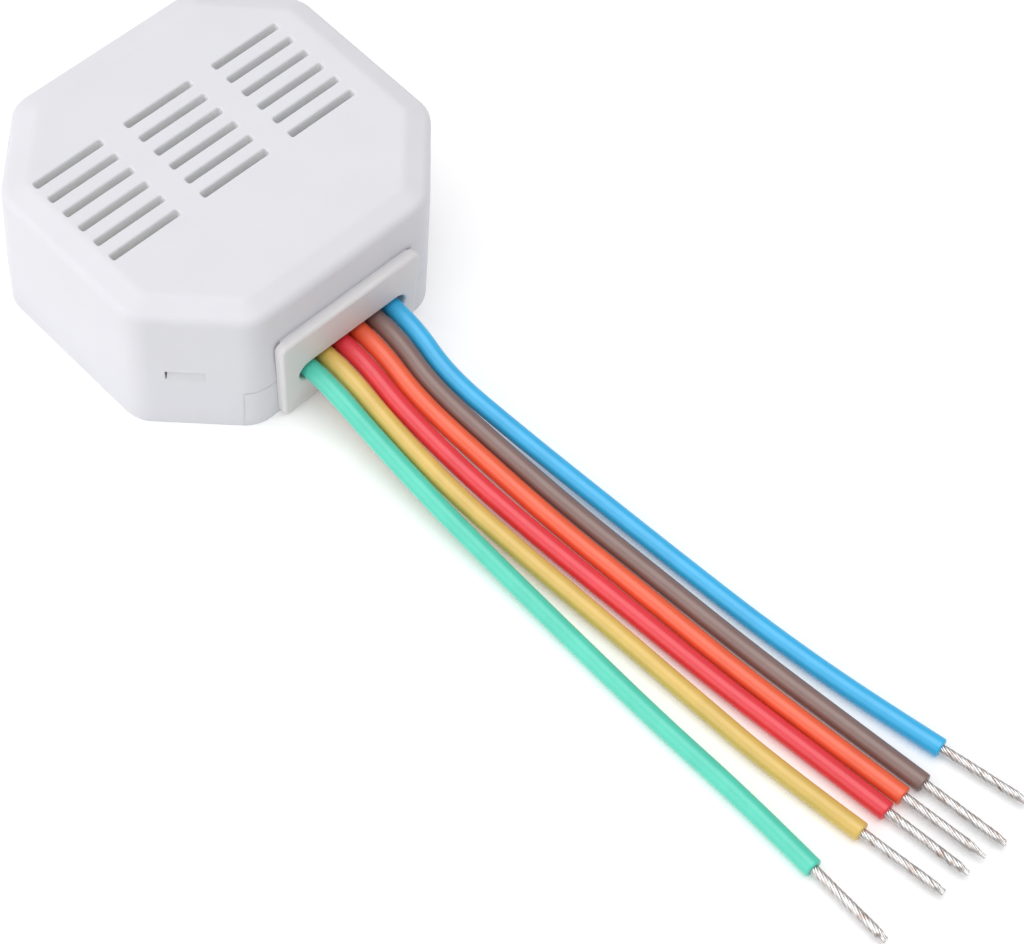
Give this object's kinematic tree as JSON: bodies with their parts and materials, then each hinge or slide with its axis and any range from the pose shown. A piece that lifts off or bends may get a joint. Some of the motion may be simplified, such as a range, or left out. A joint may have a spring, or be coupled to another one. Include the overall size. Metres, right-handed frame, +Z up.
{
  "type": "shutter control module",
  "caption": "Compact white plastic shutter control module with cut corners, a vented roof, a front cable outlet and coloured flying leads with stripped ends, for a flush wall box.",
  "frame": {"origin": "middle of the casing's flat underside, leads and outlet plate left out", "axes": "+Z up through the vented roof; the leads leave towards -Y; +X to the right when looking at the outlet from outside"},
  "size_m": [0.054, 0.1593, 0.0239],
  "materials": {
    "casing": "fine matt moulded grain",
    "outlet": "satin, slightly translucent",
    "insulation_green": "satin PVC",
    "insulation_yellow": "satin PVC",
    "insulation_red": "satin PVC",
    "insulation_orange": "satin PVC",
    "insulation_brown": "satin PVC",
    "insulation_blue": "satin PVC",
    "tinned_copper": "twisted tinned strands",
    "screw_steel": "zinc plated",
    "board_laminate": "green solder mask",
    "solder": "bright solder",
    "film_box": "moulded box",
    "capacitor_sleeve": "shrunk sleeve",
    "ferrite": "sintered ferrite",
    "winding_tape": "taped winding",
    "black_plastic": "moulded black",
    "varistor_coat": "dipped coating",
    "chip_ceramic": "ceramic body",
    "shield_tin": "tinned sheet",
    "relay_shell": "moulded dark case",
    "relay_winding": "enamelled copper wire",
    "relay_iron": "soft iron",
    "relay_brass": "contact strip"
  },
  "bodies": {
    "module": {"base_tray": "casing", "snap_hooks": "casing", "cable_outlet": "outlet", "clamp_bar": "outlet", "lead_green": "insulation_green", "inner_lead_green": "insulation_green", "lead_yellow": "insulation_yellow", "inner_lead_yellow": "insulation_yellow", "lead_red": "insulation_red", "inner_lead_red": "insulation_red", "lead_orange": "insulation_orange", "inner_lead_orange": "insulation_orange", "lead_brown": "insulation_brown", "inner_lead_brown": "insulation_brown", "lead_blue": "insulation_blue", "inner_lead_blue": "insulation_blue", "stripped_green": "tinned_copper", "stripped_yellow": "tinned_copper", "stripped_red": "tinned_copper", "stripped_orange": "tinned_copper", "stripped_brown": "tinned_copper", "stripped_blue": "tinned_copper", "inner_conductors": "tinned_copper", "clamp_screws": "screw_steel", "board_screws": "screw_steel", "circuit_board": "board_laminate", "radio_board": "board_laminate", "solder_joints": "solder", "component_leads": "solder", "chip_leads": "solder", "film_capacitor": "film_box", "input_capacitor": "capacitor_sleeve", "output_capacitor": "capacitor_sleeve", "transformer_core": "ferrite", "transformer_winding": "winding_tape", "transformer_base": "black_plastic", "radio_header": "black_plastic", "bridge_rectifier": "black_plastic", "power_controller": "black_plastic", "driver_transistors": "black_plastic", "flyback_diodes": "black_plastic", "radio_chip": "black_plastic", "fuse": "black_plastic", "varistor": "varistor_coat", "chip_parts": "chip_ceramic", "radio_shield": "shield_tin", "antenna": "shield_tin", "relay_up_case": "relay_shell", "relay_down_case": "relay_shell", "relay_up_base": "relay_shell", "relay_down_base": "relay_shell", "relay_up_coil": "relay_winding", "relay_down_coil": "relay_winding", "relay_up_yoke": "relay_iron", "relay_down_yoke": "relay_iron", "relay_up_contact": "relay_brass", "relay_down_contact": "relay_brass"},
    "cover": {"top_cover": "casing"},
    "up_armature": {"relay_up_armature": "relay_iron"},
    "down_armature": {"relay_down_armature": "relay_iron"}
  },
  "joints": [
    {"name": "cover_lift", "type": "slide", "parent": "module", "child": "cover", "axis": [0, 0, 1], "range_m": [0, 0.03], "deforming": ["snap_hooks"]},
    {"name": "relay_up_close", "type": "hinge", "parent": "module", "child": "up_armature", "pos_m": [0.012, -0.00564, 0.01685], "axis": [-1, 0, 0], "range_deg": [0, 5], "stiffness_Nm_per_rad": 0.005, "springref_deg": -5.73},
    {"name": "relay_down_close", "type": "hinge", "parent": "module", "child": "down_armature", "pos_m": [0.0198, -0.00564, 0.01685], "axis": [-1, 0, 0], "range_deg": [0, 5], "stiffness_Nm_per_rad": 0.005, "springref_deg": -5.73}
  ]
}
